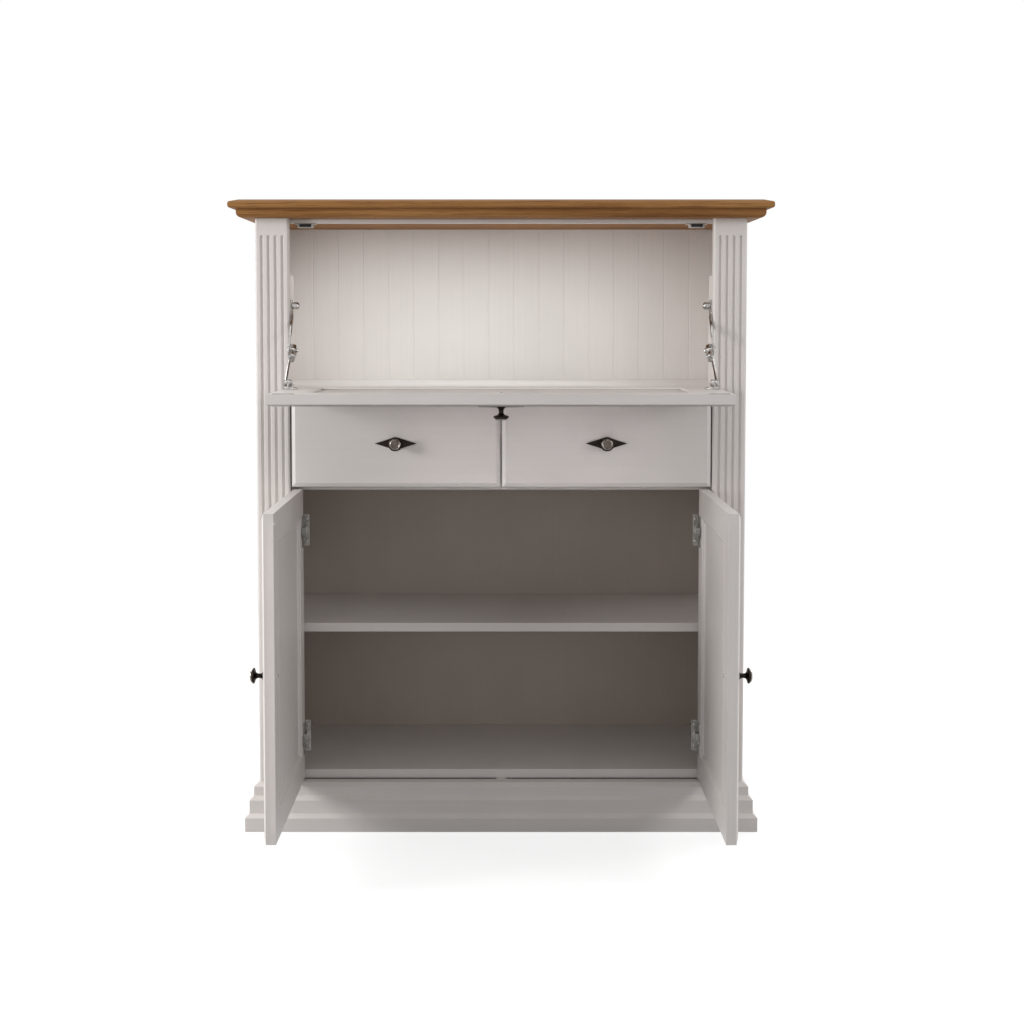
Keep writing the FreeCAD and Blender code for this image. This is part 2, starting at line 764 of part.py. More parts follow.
def make_drawers():
    middle = f"(({drawer_x[0]} + {drawer_x[1]}) / 2)"
    level = f"(({drawer_bottom} + {drawer_top}) / 2)"
    knob, screw, plate, hole = make_knob(middle, front, level, "drawer_thickness", False)
    face = bevelled(drawer_x, (front, drawer_back), (drawer_bottom, drawer_top),
                    "drawer_bevel_width", "drawer_bevel_depth")
    left_and_right("drawer_front", [cut(face, hole)])
    groove_half = "(runner_height / 2 + runner_play)"
    groove_z = (f"{runner_z} - {groove_half}", f"{runner_z} + {groove_half}")
    groove_y = (f"{drawer_back} - overrun", f"{drawer_end} + overrun")
    length = (drawer_back, drawer_end)
    height = (wall_bottom, wall_top)
    inside = (f"{box_x[0]} + drawer_wall", f"{box_x[1]} - drawer_wall")
    outer = cut(
        block((box_x[0], inside[0]), length, height),
        block((f"{box_x[0]} - overrun", f"{box_x[0]} + runner_groove"), groove_y, groove_z),
    )
    inner = cut(
        block((inside[1], box_x[1]), length, height),
        block((f"{box_x[1]} - runner_groove", f"{box_x[1]} + overrun"), groove_y, groove_z),
    )
    back = block(inside, (f"{drawer_end} - drawer_wall", drawer_end), height)
    left_and_right("drawer_box", [outer, inner, back])
    left_and_right("drawer_bottom", [block(box_x, length, (box_bottom, wall_bottom))])
    left_and_right("drawer_knob", [knob, screw])
    left_and_right("drawer_knob_plate", [plate])


def make_runners():
    reach = "(runner_gap + runner_groove - runner_play)"
    depth = (stop_face, f"{back_face} - runner_gap")
    height = (f"{runner_z} - runner_height / 2", f"{runner_z} + runner_height / 2")
    outer = block((f"-{opening_half}", f"{reach} - {opening_half}"), depth, height)
    inner = block((f"-panel_thickness / 2 - {reach}", "-panel_thickness / 2"), depth, height)
    group("drawer_runners", both(outer) + both(inner))
    packer_z = (f"{runner_z} - packer_height / 2", f"{runner_z} + packer_height / 2")
    packer_x = (f"-{inner_half}", f"-{opening_half}")
    group("drawer_packers", both(block(packer_x, (post_back, back_face), packer_z)))


# Fold-out flap, drawn closed and then folded down about its pivot pins.
flap_x = (f"(flap_side_gap - {opening_half})", f"({opening_half} - flap_side_gap)")
flap_y = (front, flap_inside)
flap_z = (flap_bottom, flap_top)


def folded_flap(name, items):
    flap = group(f"flap_{name}", items)
    flap.Placement = turn((1, 0, 0), 90)
    put(flap, "0", f"{flap_pivot_y} + {flap_pivot_z}", f"{flap_pivot_z} - {flap_pivot_y}")


def make_flap():
    blank = bevelled(flap_x, flap_y, flap_z, "frame_bevel_width", "frame_bevel_depth")
    heel_y = f"({flap_inside} - flap_heel_round)"
    heel_z = f"({flap_bottom} + flap_heel_round)"
    span = (f"{flap_x[0]} - overrun", f"{flap_x[1]} + overrun")
    corner = cut(
        block(span, (heel_y, f"{flap_inside} + overrun"), (f"{flap_bottom} - overrun", heel_z)),
        rod("x", span[0], heel_y, heel_z, "flap_heel_round", f"{span[1]} - ({span[0]})"),
    )
    stiles, rails, panel = framed_leaf(flap_x, flap_y, flap_z, cut(blank, corner), "flap_frame_width")
    knob_z = f"({flap_top} - flap_knob_inset)"
    knob, screw, plate, hole = make_knob("0", front, knob_z, "flap_thickness", False)
    pin_start = f"(-{opening_half} - bush_length + overrun)"
    pin = rod("x", pin_start, flap_pivot_y, flap_pivot_z, "flap_pin_radius", "flap_pin_length")
    socket = rod("x", pin_start, flap_pivot_y, flap_pivot_z, "flap_pin_radius + fit_gap", "flap_pin_length")
    folded_flap("stiles", [cut(stiles[0], socket), cut(stiles[1], mirror(socket))])
    folded_flap("rails", [rails[0], cut(rails[1], hole)])
    folded_flap("panel", [panel])
    folded_flap("pivot_pins", both(pin))
    folded_flap("knob", [knob, screw])
    folded_flap("knob_plate", [plate])
    half = "strike_length / 2"
    middle = f"({rail_bottom} - catch_height / 2)"
    strike = block(
        (f"-{catch_x} - {half}", f"-{catch_x} + {half}"),
        (flap_inside, f"{flap_inside} + strike_thickness"),
        (f"{middle} - strike_height / 2", f"{middle} + strike_height / 2"),
    )
    folded_flap("strike_plates", both(strike))


# Folding stays, drawn as they stand with the flap down.
# The upper bar turns on a stud on the batten, the lower rod on a foot screwed to the flap,
# and the two meet at the brake in the middle.
foot_y = f"({flap_pivot_y} - stay_flap_reach - stay_flap_share * {flap_height})"
foot_z = f"({bar_level} + stay_pivot_rise)"
stay_span = f"sqrt(({wall_y} - {foot_y})^2 + ({wall_z} - {foot_z})^2)"
upper_length = f"(stay_upper_share * ({stay_span} + stay_slack))"
lower_length = f"((1 - stay_upper_share) * ({stay_span} + stay_slack))"
stay_wall = f"(-{opening_half})"


def bend(near, far):
    return f"acos(({near}^2 + {stay_span}^2 - {far}^2) / (2 * {near} * {stay_span}))"


bar_start = f"({stay_wall} + stay_plate + stay_play)"
bar_end = f"({bar_start} + stay_bar_thickness)"
rod_start = f"({bar_end} + stay_play)"
rod_end = f"({rod_start} + stay_eye_width)"


def make_stays():
    half = "stay_plate_width / 2"
    plate = block(
        (stay_wall, f"{stay_wall} + stay_plate"),
        (f"{wall_y} - {half}", f"{wall_y} + {half}"),
        (f"{wall_z} - stay_plate_height / 2", f"{wall_z} + stay_plate_height / 2"),
    )
    stud = rod("x", stay_wall, wall_y, wall_z, "stay_pin_radius", f"{bar_end} - {stay_wall} + stay_play / 2")
    head = rod("x", f"{bar_end} + stay_play / 2", wall_y, wall_z, "stay_head_radius", "stay_head")
    group("stay_wall_brackets", both(fuse(plate, stud, head)))

    angle = f"atan2({foot_z} - {wall_z}; {foot_y} - {wall_y})"
    thick = ("0", "stay_bar_thickness")
    bar = fuse(
        block(thick, ("0", upper_length), ("-stay_bar_width / 2", "stay_bar_width / 2")),
        rod("x", "0", "0", "0", "stay_eye_radius", "stay_bar_thickness"),
        rod("x", "0", upper_length, "0", "stay_eye_radius", "stay_bar_thickness"),
        rod("x", "-stay_rivet", upper_length, "0", "stay_boss_radius", "stay_rivet + stay_bar_thickness"),
    )
    eye = rod("x", "-overrun", "0", "0", "stay_pin_radius + fit_gap", "stay_bar_thickness + 2 * overrun")
    upper = cut(bar, eye)
    upper.Placement = turn((1, 0, 0), 1)
    bind(upper, "Placement.Rotation.Angle", f"{angle} + {bend(upper_length, lower_length)} + 360 deg")
    put(upper, bar_start, wall_y, wall_z)
    left_and_right("stay_upper_arm", [upper])

    angle = f"atan2({wall_z} - {foot_z}; {wall_y} - {foot_y})"
    brake_end = f"({lower_length} + stay_eye_radius)"
    brake = block(
        ("0", "stay_brake_width"),
        (f"{brake_end} - stay_brake_length", brake_end),
        ("-stay_brake_height / 2", "stay_brake_height / 2"),
    )
    link = fuse(
        rod("y", "stay_eye_width / 2", "0", "0", "stay_rod_radius", lower_length),
        rod("x", "0", "0", "0", "stay_eye_radius", "stay_eye_width"),
        rod("x", "fit_gap - stay_play", lower_length, "0", "stay_boss_radius", "stay_play + stay_eye_width"),
        brake,
    )
    eye = rod("x", "-overrun", "0", "0", "stay_pin_radius + fit_gap", "stay_eye_width + 2 * overrun")
    lower = cut(link, eye)
    lower.Placement = turn((1, 0, 0), 1)
    bind(lower, "Placement.Rotation.Angle", f"{angle} - {bend(lower_length, upper_length)}")
    put(lower, rod_start, foot_y, foot_z)
    left_and_right("stay_lower_arm", [lower])

    lug = f"({rod_end} + stay_play)"
    foot_half = "stay_foot_length / 2"
    foot = fuse(
        block(
            (rod_start, f"{rod_start} + stay_foot_width"),
            (f"{foot_y} - {foot_half}", f"{foot_y} + {foot_half}"),
            (bar_level, f"{bar_level} + stay_plate"),
        ),
        block((lug, f"{lug} + stay_plate"), (f"{foot_y} - stay_eye_radius", f"{foot_y} + stay_eye_radius"),
              (bar_level, foot_z)),
        rod("x", lug, foot_y, foot_z, "stay_eye_radius", "stay_plate"),
        rod("x", rod_start, foot_y, foot_z, "stay_pin_radius", f"{lug} - {rod_start} + stay_plate"),
    )
    group("flap_stay_feet", both(foot))


make_top()
make_plinth()
make_posts()
make_sides_and_shelf()
make_boards()
make_catches()
make_doors()
make_hinge_arms()
make_drawers()
make_runners()
make_flap()
make_stays()
doc.recompute()

broken = [item.Label for item in doc.Objects if "Invalid" in item.State or "Error" in item.State]
broken += [item.Label for item in nodes if item.Shape.isNull() or not item.Shape.isValid()]
if broken:
    raise RuntimeError("not built: " + ", ".join(broken))
os.makedirs("parts", exist_ok=True)
for item in nodes:
    item.Shape.exportStep(f"parts/{item.Label}.step")
print(len(nodes), "nodes written")
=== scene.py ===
import json
import math
import bmesh
import bpy
from mathutils import Matrix, Vector


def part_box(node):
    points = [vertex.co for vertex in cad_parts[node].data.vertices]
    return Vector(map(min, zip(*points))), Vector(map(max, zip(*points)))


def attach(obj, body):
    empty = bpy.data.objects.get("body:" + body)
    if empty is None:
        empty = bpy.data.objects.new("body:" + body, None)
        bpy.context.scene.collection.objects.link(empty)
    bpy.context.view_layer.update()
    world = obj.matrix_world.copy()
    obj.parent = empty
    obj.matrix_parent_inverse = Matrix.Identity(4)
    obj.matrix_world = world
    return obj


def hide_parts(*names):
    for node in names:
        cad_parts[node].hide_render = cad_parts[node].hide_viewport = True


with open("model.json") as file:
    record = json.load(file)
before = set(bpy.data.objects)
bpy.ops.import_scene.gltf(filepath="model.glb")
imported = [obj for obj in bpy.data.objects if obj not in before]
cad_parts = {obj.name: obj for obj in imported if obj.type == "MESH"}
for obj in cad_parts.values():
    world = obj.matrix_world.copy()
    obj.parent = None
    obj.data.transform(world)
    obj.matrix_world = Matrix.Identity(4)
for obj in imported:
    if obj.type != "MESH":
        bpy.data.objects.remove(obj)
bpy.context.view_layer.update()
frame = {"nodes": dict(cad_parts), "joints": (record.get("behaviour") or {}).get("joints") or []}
nodes = frame["nodes"]
mm = 0.001
print("frame loaded:", len(nodes), "nodes")


# Colours are written as 0 to 255 screen values.
def screen(red, green, blue):
    def toLinear(value):
        share = value / 255
        return share / 12.92 if share <= 0.04045 else ((share + 0.055) / 1.055) ** 2.4
    return (toLinear(red), toLinear(green), toLinear(blue), 1.0)


def startMaterial(name):
    material = bpy.data.materials.new(name)
    material.use_nodes = True
    tree = material.node_tree
    return material, tree, tree.nodes["Principled BSDF"]


def addNode(tree, kind, values=None, **settings):
    node = tree.nodes.new(kind)
    for key, value in settings.items():
        setattr(node, key, value)
    for key, value in (values or {}).items():
        node.inputs[key].default_value = value
    return node


# Places of the sockets on a node that mixes colours.
colourMix = {"share": 0, "first": 6, "second": 7, "result": 2}


def wire(tree, source, target, outlet=None, inlet=0):
    if outlet is None:
        outlet = colourMix["result"] if source.bl_idname == "ShaderNodeMix" else 0
    tree.links.new(source.outputs[outlet], target.inputs[inlet])


def stretched(tree, scale=(1, 1, 1)):
    place = addNode(tree, "ShaderNodeTexCoord")
    mapping = addNode(tree, "ShaderNodeMapping", {"Scale": scale})
    wire(tree, place, mapping, "Object", "Vector")
    return mapping


def noise(tree, mapping, scale, detail, distortion=0.0):
    node = addNode(tree, "ShaderNodeTexNoise", {"Scale": scale, "Detail": detail, "Distortion": distortion})
    wire(tree, mapping, node, "Vector", "Vector")
    return node


def ramp(tree, source, stops):
    node = addNode(tree, "ShaderNodeValToRGB")
    steps = node.color_ramp.elements
    while len(steps) < len(stops):
        steps.new(0.5)
    for step, (place, colour) in zip(steps, stops):
        step.position = place
        step.color = colour
    wire(tree, source, node, inlet="Fac")
    return node


def grey(value):
    return (value, value, value, 1.0)


def greyRamp(tree, source, stops):
    return ramp(tree, source, [(place, grey(value)) for place, value in stops])


def spread(tree, source, low, high):
    node = addNode(tree, "ShaderNodeMapRange", {"To Min": low, "To Max": high})
    wire(tree, source, node, inlet="Value")
    return node


def blendColour(tree, share, first, second, mode="MIX"):
    node = addNode(tree, "ShaderNodeMix", data_type="RGBA", blend_type=mode)
    for socket, side in (("share", share), ("first", first), ("second", second)):
        if isinstance(side, (float, tuple)):
            node.inputs[colourMix[socket]].default_value = side
        else:
            wire(tree, side, node, inlet=colourMix[socket])
    return node


def bump(tree, shader, source, strength, distance, before=None):
    node = addNode(tree, "ShaderNodeBump", {"Strength": strength, "Distance": distance})
    wire(tree, source, node, inlet="Height")
    if before:
        wire(tree, before, node, "Normal", "Normal")
    wire(tree, node, shader, "Normal", "Normal")
    return node


# Satin paint over wood: faint brush lines along the board and a little unevenness in tone and gloss.
# Noises are given as scale, detail and distortion, and bumps as strength and depth in metres.
paint = {
    "satin": {"pale": screen(221, 215, 212), "deep": screen(217, 211, 207), "gloss": (0.36, 0.48)},
    # painted shade: the inside coat is a darker, warmer copy of the paint that stands in for the shade inside
    # the lower cupboard
    "inside": {"pale": screen(186, 175, 167), "deep": screen(180, 169, 160), "gloss": (0.46, 0.58)},
    # painted light: the deck coat is a slightly paler, cooler copy of the paint that stands in for the light
    # falling on the bar floor
    "deck": {"pale": screen(223, 219, 217), "deep": screen(219, 215, 212), "gloss": (0.3, 0.36)},
    "rearSkin": 0.5,
    "brushLength": 3.0,
    "brushWidth": 160.0,
    "tone": (7.0, 4.0),
    "toneStops": (0.3, 0.7),
    "strokes": (1.0, 4.0, 0.3),
    "streaks": ((0.25, 0.965), (0.75, 1.0)),
    "strokeBump": (0.12, 0.0006),
    "peel": (420.0, 2.0),
    "peelBump": (0.05, 0.0003),
}


def coatTone(tree, tone, coat):
    low, high = paint["toneStops"]
    return ramp(tree, tone, [(low, paint[coat]["deep"]), (high, paint[coat]["pale"])])


def outerFace(tree, panel):
    axes = addNode(tree, "ShaderNodeSeparateXYZ")
    wire(tree, stretched(tree), axes, "Vector")
    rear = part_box(panel)[1].y - paint["rearSkin"] * mm
    outer = addNode(tree, "ShaderNodeMath", {1: rear}, operation="GREATER_THAN")
    wire(tree, axes, outer, "Y")
    return outer


def makePaint(name, coat, along):
    material, tree, shader = startMaterial(name)
    brushed = [paint["brushWidth"]] * 3
    brushed["xyz".index(along)] = paint["brushLength"]
    tone = noise(tree, stretched(tree), *paint["tone"])
    strokes = noise(tree, stretched(tree, brushed), *paint["strokes"])
    shade = coatTone(tree, tone, coat)
    # Painted shade: the inside coat darkens the lower back's inner face to stand in for the shade in the
    # lower cupboard.
    if coat == "inside":  # the back's outer face keeps the body's own paint
        shade = blendColour(tree, outerFace(tree, "lower_back_panel"), shade, coatTone(tree, tone, "satin"))
    tint = blendColour(tree, 1.0, shade, greyRamp(tree, strokes, paint["streaks"]), "MULTIPLY")
    wire(tree, tint, shader, inlet="Base Color")
    wire(tree, spread(tree, tone, *paint[coat]["gloss"]), shader, inlet="Roughness")
    peel = noise(tree, stretched(tree), *paint["peel"])
    first = bump(tree, shader, strokes, *paint["strokeBump"])
    bump(tree, shader, peel, *paint["peelBump"], first)
    return material


# Oiled oak: long grain with growth rings, short dark pores and staves of differing tone.
oak = {
    "dark": screen(134, 88, 45),
    "middle": screen(158, 110, 61),
    "light": screen(178, 129, 77),
    "staveWidth": 0.092,
    "staveShift": 9.0,
    "staveTone": (0.84, 1.1),
    "glueLine": ((0.0, 0.72), (0.014, 1.0)),
    "grainStretch": (1.3, 17.0, 26.0),
    "grain": (2.4, 7.0, 0.35),
    "grainStops": {"dark": 0.28, "middle": 0.5, "light": 0.74},
    "grainBump": (0.08, 0.0008),
    "rings": {"Scale": 1.1, "Distortion": 3.6, "Detail": 3.0, "Detail Scale": 1.2},
    "ringTones": ((0.0, 0.86), (0.45, 1.0), (1.0, 1.04)),
    "ringShare": 0.75,
    "pore": screen(88, 53, 23),
    "poreStretch": (14.0, 520.0, 520.0),
    "pores": (1.0, 2.0),
    "poreMask": ((0.34, 0.55), (0.44, 0.0)),
    "poreBump": (0.2, 0.0005),
    "gloss": (0.52, 0.68),
    "shine": 0.22,
}


def makeOak(name):
    material, tree, shader = startMaterial(name)
    place = addNode(tree, "ShaderNodeTexCoord")
    axes = addNode(tree, "ShaderNodeSeparateXYZ")
    wire(tree, place, axes, "Object")
    across = addNode(tree, "ShaderNodeMath", {1: oak["staveWidth"]}, operation="DIVIDE")
    wire(tree, axes, across, "Y")
    stave = addNode(tree, "ShaderNodeMath", operation="FLOOR")
    wire(tree, across, stave)
    chance = addNode(tree, "ShaderNodeTexWhiteNoise", noise_dimensions="1D")
    wire(tree, stave, chance, inlet="W")
    far = addNode(tree, "ShaderNodeMath", {1: oak["staveShift"]}, operation="MULTIPLY")
    wire(tree, chance, far, "Value")
    slide = addNode(tree, "ShaderNodeCombineXYZ")
    wire(tree, far, slide, inlet="X")
    wire(tree, far, slide, inlet="Z")
    moved = addNode(tree, "ShaderNodeVectorMath", operation="ADD")
    wire(tree, place, moved, "Object")
    wire(tree, slide, moved, inlet=1)

    long = addNode(tree, "ShaderNodeMapping", {"Scale": oak["grainStretch"]})
    wire(tree, moved, long, inlet="Vector")
    grain = noise(tree, long, *oak["grain"])
    body = ramp(tree, grain, [(stop, oak[tone]) for tone, stop in oak["grainStops"].items()])
    rings = addNode(tree, "ShaderNodeTexWave", oak["rings"], bands_direction="Z")
    wire(tree, long, rings, "Vector", "Vector")
    ringed = blendColour(tree, oak["ringShare"], body, greyRamp(tree, rings, oak["ringTones"]), "MULTIPLY")
    fine = addNode(tree, "ShaderNodeMapping", {"Scale": oak["poreStretch"]})
    wire(tree, moved, fine, inlet="Vector")
    pores = noise(tree, fine, *oak["pores"])
    pored = blendColour(tree, greyRamp(tree, pores, oak["poreMask"]), ringed, oak["pore"])
    glue = addNode(tree, "ShaderNodeMath", operation="FRACT")
    wire(tree, across, glue)
    jointed = blendColour(tree, 1.0, pored, greyRamp(tree, glue, oak["glueLine"]), "MULTIPLY")
    toned = blendColour(tree, 1.0, jointed, spread(tree, chance, *oak["staveTone"]), "MULTIPLY")

    wire(tree, toned, shader, inlet="Base Color")
    wire(tree, spread(tree, grain, *oak["gloss"]), shader, inlet="Roughness")
    shader.inputs["Specular IOR Level"].default_value = oak["shine"]
    first = bump(tree, shader, pores, *oak["poreBump"])
    bump(tree, shader, grain, *oak["grainBump"], first)
    return material


# Metals and mouldings share one recipe: a base tone that drifts, and a gloss that drifts with it.
finishes = {
    "pewter": {"low": screen(32, 26, 23), "high": screen(50, 43, 39), "metal": 1.0,
               "gloss": (0.3, 0.48), "size": 190.0, "bump": 0.18},
    # paler metal for the knob's crown ring: partly wear, partly a painted highlight
    "wornHighlitPewter": {"low": screen(112, 105, 99), "high": screen(172, 165, 158), "metal": 0.95,
                   "gloss": (0.18, 0.34), "size": 260.0, "bump": 0.08},
    "brushedPewter": {"low": screen(80, 71, 66), "high": screen(110, 101, 95), "metal": 1.0,
                      "gloss": (0.3, 0.46), "size": 320.0, "bump": 0.1},
    "chrome": {"low": screen(150, 148, 146), "high": screen(206, 204, 202), "metal": 1.0,
               "gloss": (0.08, 0.2), "size": 60.0, "bump": 0.02},
    "nickel": {"low": screen(150, 147, 143), "high": screen(186, 183, 179), "metal": 1.0,
               "gloss": (0.34, 0.5), "size": 150.0, "bump": 0.04},
    "whiteMoulding": {"low": screen(186, 183, 179), "high": screen(200, 197, 193), "metal": 0.0,
                      "gloss": (0.38, 0.5), "size": 90.0, "bump": 0.05},
    "blackMagnet": {"low": screen(18, 16, 15), "high": screen(34, 31, 29), "metal": 0.3,
                    "gloss": (0.4, 0.6), "size": 300.0, "bump": 0.15},
}
finishDrift = {"detail": 4.0, "stops": (0.3, 0.7), "depth": 0.0004}


def makeFinish(name):
    look = finishes[name]
    material, tree, shader = startMaterial(name)
    drift = noise(tree, stretched(tree), look["size"], finishDrift["detail"])
    low, high = finishDrift["stops"]
    wire(tree, ramp(tree, drift, [(low, look["low"]), (high, look["high"])]), shader, inlet="Base Color")
    shader.inputs["Metallic"].default_value = look["metal"]
    wire(tree, spread(tree, drift, *look["gloss"]), shader, inlet="Roughness")
    bump(tree, shader, drift, look["bump"], finishDrift["depth"])
    return material


looks = {name: makeFinish(name) for name in finishes}
looks["oak"] = makeOak("oiledOak")
for along in "xyz":
    looks[f"paint{along.upper()}"] = makePaint(f"satinPaint{along.upper()}", "satin", along)
# Painted shade: the darker inside coat for the lower back's inner face.
looks["paintShadedInside"] = makePaint("shadedInsidePaint", "inside", "z")
# Painted light: the paler, cooler deck coat for the bar floor.
looks["paintLitDeck"] = makePaint("litDeckPaint", "deck", "x")
print("materials made:", len(looks))


# Which finish each CAD node takes, and how far its edges are eased.
dressing = {
    "oak": {"ease": 0.0, "nodes": ["top_board", "top_moulding"]},
    "paintZ": {"ease": 1.0, "nodes": [
        "left_post", "right_post", "left_side", "right_side", "post_battens", "drawer_divider",
        "bar_back_panel", "left_door_stiles", "right_door_stiles",
        "left_door_panel", "right_door_panel"]},
    "paintX": {"ease": 1.0, "nodes": [
        "top_rail", "drawer_deck", "bottom_panel", "middle_shelf", "plinth_front", "plinth_rails",
        "left_drawer_front", "right_drawer_front", "left_drawer_bottom", "right_drawer_bottom",
        "left_door_rails", "right_door_rails", "flap_rails", "flap_panel"]},
    # painted shade: the lower back takes the darker inside coat
    "paintShadedInside": {"ease": 1.0, "nodes": ["lower_back_panel"]},
    # painted light: the bar floor takes the paler, cooler deck coat
    "paintLitDeck": {"ease": 1.0, "nodes": ["bar_floor"]},
    "paintY": {"ease": 1.0, "nodes": [
        "plinth_ends", "drawer_packers", "drawer_runners", "left_drawer_box", "right_drawer_box",
        "flap_stiles"]},
    "pewter": {"ease": 0.3, "nodes": [
        f"{place}_{piece}" for place in ("flap", "left_door", "right_door", "left_drawer", "right_drawer")
        for piece in ("knob", "knob_plate")]},
    "chrome": {"ease": 0.3, "nodes": [
        "stay_wall_brackets", "flap_stay_feet", "left_stay_upper_arm", "left_stay_lower_arm",
        "right_stay_upper_arm", "right_stay_lower_arm"]},
    "nickel": {"ease": 0.2, "nodes": [
        "hinge_arms", "left_door_hinge_cups", "right_door_hinge_cups", "shelf_pins", "flap_strike_plates",
        "flap_pivot_pins"]},
    "whiteMoulding": {"ease": 0.3, "nodes": ["catch_bodies", "flap_pivot_bushes"]},
    "blackMagnet": {"ease": 0.2, "nodes": ["catch_magnets"]},
}
easing = {"weld": 0.01, "segments": 2, "corner": 35}


def dress(node, material, ease):
    node.data.materials.clear()
    node.data.materials.append(material)
    if not ease:
        return
    weld = node.modifiers.new("joinEdges", "WELD")
    weld.merge_threshold = easing["weld"] * mm
    bevel = node.modifiers.new("easedEdges", "BEVEL")
    bevel.width = ease * mm
    bevel.segments = easing["segments"]
    bevel.limit_method = "ANGLE"
    bevel.angle_limit = math.radians(easing["corner"])
    bevel.use_clamp_overlap = True
    bevel.harden_normals = True


for name, plan in dressing.items():
    for nodeName in plan["nodes"]:
        dress(nodes[nodeName], looks[name], plan["ease"])
undressed = set(nodes) - {nodeName for plan in dressing.values() for nodeName in plan["nodes"]}
print("nodes dressed, left over:", sorted(undressed))


# Fittings are modelled in millimetres, standing up along Z, and then moved to where they belong.
# Turned ones are spun in these numbers of steps.
turning = {"knob": 56, "cap": 36, "pin": 28, "footScrew": 24, "screw": 20, "weld": 0.001}


def cornersOf(node):
    return [Vector(corner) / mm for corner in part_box(node)]


def facing(at, along, up):
    ahead = Vector(along).normalized()
    side = Vector(up).cross(ahead).normalized()
    turned = Matrix((side, ahead.cross(side), ahead)).transposed().to_4x4()
    return Matrix.Translation(at) @ turned @ Matrix.Scale(mm, 4)


def placed(shape, matrix, mirrored=False):
    bmesh.ops.transform(shape, matrix=matrix, verts=shape.verts)
    if mirrored:
        bmesh.ops.transform(shape, matrix=Matrix.Scale(-1, 4, (1, 0, 0)), verts=shape.verts)
        bmesh.ops.reverse_faces(shape, faces=shape.faces)
    return shape


def spun(profile, steps):
    shape = bmesh.new()
    points = [shape.verts.new((radius, 0, height)) for radius, height in profile]
    lines = [shape.edges.new(pair) for pair in zip(points, points[1:])]
    bmesh.ops.spin(shape, geom=points + lines, cent=(0, 0, 0), axis=(0, 0, 1), angle=math.tau, steps=steps,
                   use_merge=True)
    bmesh.ops.remove_doubles(shape, verts=shape.verts, dist=turning["weld"])
    bmesh.ops.recalc_face_normals(shape, faces=shape.faces)
    return shape


def fitted(profile, steps, at, along, up, mirrored=False):
    return placed(spun(profile, steps), facing(at, along, up), mirrored)


def easeEdges(shape, radius, segments):
    bmesh.ops.bevel(shape, geom=shape.edges[:], offset=radius, segments=segments, profile=0.5,
                    affect="EDGES", material=-1)


# A recess sinks the face that looks one way and leaves a lip round it.
def roundedBlock(size, centre, radius, segments=3, recess=None):
    shape = bmesh.new()
    bmesh.ops.create_cube(shape, size=1)
    bmesh.ops.scale(shape, vec=size, verts=shape.verts)
    easeEdges(shape, radius, segments)
    if recess:
        towards = Vector(recess["towards"])
        shown = max(shape.faces, key=lambda face: face.calc_area() * face.normal.dot(towards))
        bmesh.ops.inset_region(shape, faces=[shown], thickness=recess["lip"], depth=-recess["sink"],
                               use_even_offset=True)
    bmesh.ops.translate(shape, vec=centre, verts=shape.verts)
    return shape


def pulledUp(shape, faces, height):
    raised = bmesh.ops.extrude_face_region(shape, geom=faces, use_keep_orig=True)["geom"]
    corners = [item for item in raised if isinstance(item, bmesh.types.BMVert)]
    bmesh.ops.translate(shape, vec=(0, 0, height), verts=corners)
    return [item for item in raised if isinstance(item, bmesh.types.BMFace)]


def addPiece(name, shapes, finishNames, body, stands=(), crease=32):
    whole = bmesh.new()
    for shape in shapes:
        spare = bpy.data.meshes.new("spare")
        shape.to_mesh(spare)
        whole.from_mesh(spare)
        shape.free()
        bpy.data.meshes.remove(spare)
    mesh = bpy.data.meshes.new(name)
    whole.to_mesh(mesh)
    whole.free()
    mesh.shade_smooth()
    mesh.set_sharp_from_angle(angle=math.radians(crease))
    for finishName in finishNames:
        mesh.materials.append(looks[finishName])
    piece = bpy.data.objects.new(name, mesh)
    bpy.context.scene.collection.objects.link(piece)
    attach(piece, body)
    if stands:
        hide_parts(*stands)


# Turned knobs with a dished face inside a paler ring, partly real wear and partly a painted highlight, each
# on a four-sided plate.
knob = {
    "profile": [(0, -1.6), (7.5, -1.6), (7.5, 0.9), (7.1, 1.5), (5.8, 2.4), (4.7, 4.4), (4.1, 7.2),
                (4.2, 9.8), (5.0, 12.0), (7.2, 13.8), (10.6, 14.9), (13.0, 15.5), (13.8, 16.3),
                (14.0, 17.2), (13.7, 18.4), (12.5, 19.8), (11.2, 20.8), (10.6, 21.4), (10.3, 22.2),
                (9.7, 22.8), (9.0, 23.0), (8.3, 22.7), (7.8, 22.1), (7.5, 21.6), (6.0, 21.3),
                (3.0, 21.15), (0, 21.1)],
    "ring": (7.6, 11.3, 20.6),  # inner and outer radius, lowest height
    "face": (7.6, 21.0),  # radius, lowest height
    "screw": [(0, 0), (3.9, 0), (3.9, 0.5), (3.5, 1.2), (2.4, 1.8), (1.4, 2.0), (1.3, 1.0), (0, 0.8)],
    "screwHeight": 2.0,
}
plate = {"long": 83.0, "short": 26.0, "edge": 2.6, "peak": 3.0, "ease": 0.4, "crease": 12}
knobPlaces = {
    "left_drawer": {"along": (0, -1, 0), "up": (0, 0, 1)},
    "right_drawer": {"along": (0, -1, 0), "up": (0, 0, 1)},
    "left_door": {"along": (-1, 0, 0), "up": (0, 1, 0)},
    "right_door": {"along": (1, 0, 0), "up": (0, 1, 0)},
    "flap": {"along": (0, 0, -1), "up": (0, 1, 0)},
}


def knobShape():
    shape = spun(knob["profile"], turning["knob"])
    inner, outer, level = knob["ring"]
    rim, dish = knob["face"]
    for face in shape.faces:
        middle = face.calc_center_median()
        # The crown ring takes the paler metal, partly wear and partly a painted highlight.
        if inner < middle.xy.length < outer and middle.z > level:
            face.material_index = 1
        elif middle.xy.length < rim and middle.z > dish:
            face.material_index = 2
    return shape


